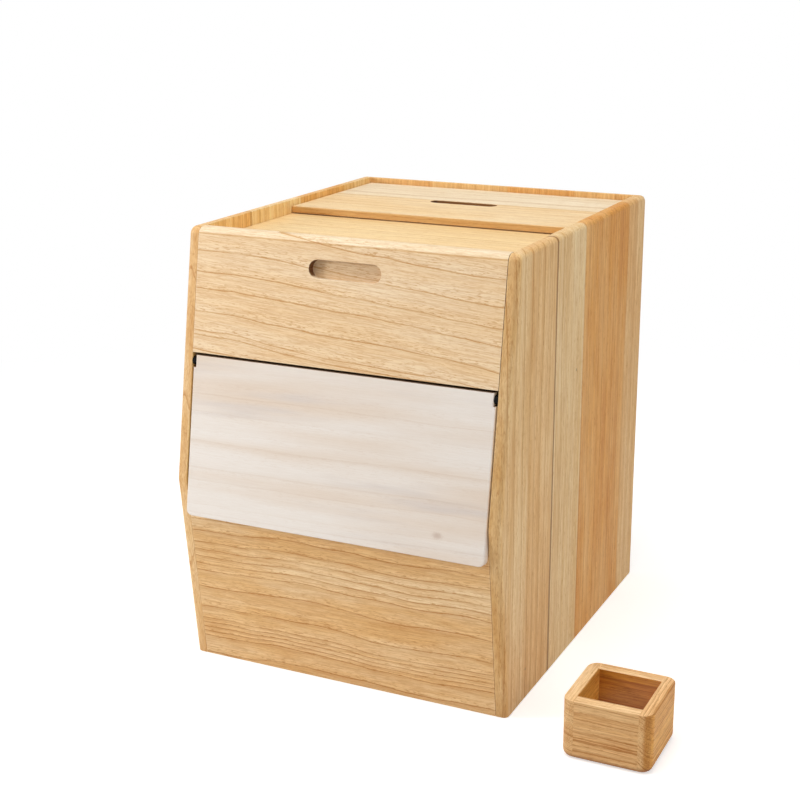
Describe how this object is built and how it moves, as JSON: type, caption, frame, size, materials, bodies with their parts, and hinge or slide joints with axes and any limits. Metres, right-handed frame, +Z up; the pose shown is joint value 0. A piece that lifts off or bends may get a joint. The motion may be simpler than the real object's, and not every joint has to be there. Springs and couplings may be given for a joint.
{
  "type": "rice storage box",
  "caption": "Wooden rice box with a leaning front, a scoop flap hinged between the sides, a lid that slides over a fixed top board, and a square measuring cup.",
  "frame": {"origin": "middle of the box's underside, on the floor that it stands on", "axes": "+Z up, -Y out of the front with the flap, +X to the right seen from the front"},
  "size_m": [0.5045, 0.4465, 0.451],
  "materials": {
    "front_upper": "satin",
    "front_lower": "satin",
    "side": "satin",
    "top": "satin",
    "inside": "matte",
    "whitewash": "satin",
    "cup": "satin",
    "dowel": "matte",
    "steel": "brushed",
    "nylon": "matte"
  },
  "bodies": {
    "case": {"back_dowel_1": "dowel", "back_dowel_2": "dowel", "back_dowel_3": "dowel", "back_dowel_4": "dowel", "back_panel": "side", "bottom_board": "inside", "bottom_dowel_1": "dowel", "bottom_dowel_2": "dowel", "bottom_dowel_3": "dowel", "bottom_dowel_4": "dowel", "front_lower_dowel_1": "dowel", "front_lower_dowel_2": "dowel", "front_lower_dowel_3": "dowel", "front_lower_dowel_4": "dowel", "front_lower_panel": "front_lower", "front_top_board": "top", "front_upper_dowel_1": "dowel", "front_upper_dowel_2": "dowel", "front_upper_dowel_3": "dowel", "front_upper_dowel_4": "dowel", "front_upper_panel": "front_upper", "inner_baffle": "inside", "lid_rail_left": "inside", "lid_rail_rear": "inside", "lid_rail_right": "inside", "seam_dowel_1": "dowel", "seam_dowel_2": "dowel", "seam_dowel_3": "dowel", "seam_dowel_4": "dowel", "seam_dowel_5": "dowel", "seam_dowel_6": "dowel", "side_front_left": "side", "side_front_right": "side", "side_rear_left": "side", "side_rear_right": "side", "top_board_dowel_1": "dowel", "top_board_dowel_2": "dowel", "top_board_dowel_3": "dowel", "top_board_dowel_4": "dowel"},
    "lid": {"lid": "top"},
    "flap": {"flap": "whitewash", "flap_pin_left": "steel", "flap_pin_right": "steel", "flap_washer_left": "nylon", "flap_washer_right": "nylon"},
    "cup": {"cup_floor": "cup", "cup_wall_back": "cup", "cup_wall_front": "cup", "cup_wall_left": "cup", "cup_wall_right": "cup"}
  },
  "joints": [
    {"name": "lid_slide", "type": "slide", "parent": "case", "child": "lid", "axis": [0, -1, 0], "range_m": [0, 0.168]},
    {"name": "flap_hinge", "type": "hinge", "parent": "case", "child": "flap", "pos_m": [0, -0.1909, 0.31937], "axis": [-1, 0, 0], "range_deg": [0, 110]},
    {"name": "cup_lift", "type": "slide", "parent": "case", "child": "cup", "axis": [0, 0, 1], "range_m": [0, 0.15]}
  ]
}
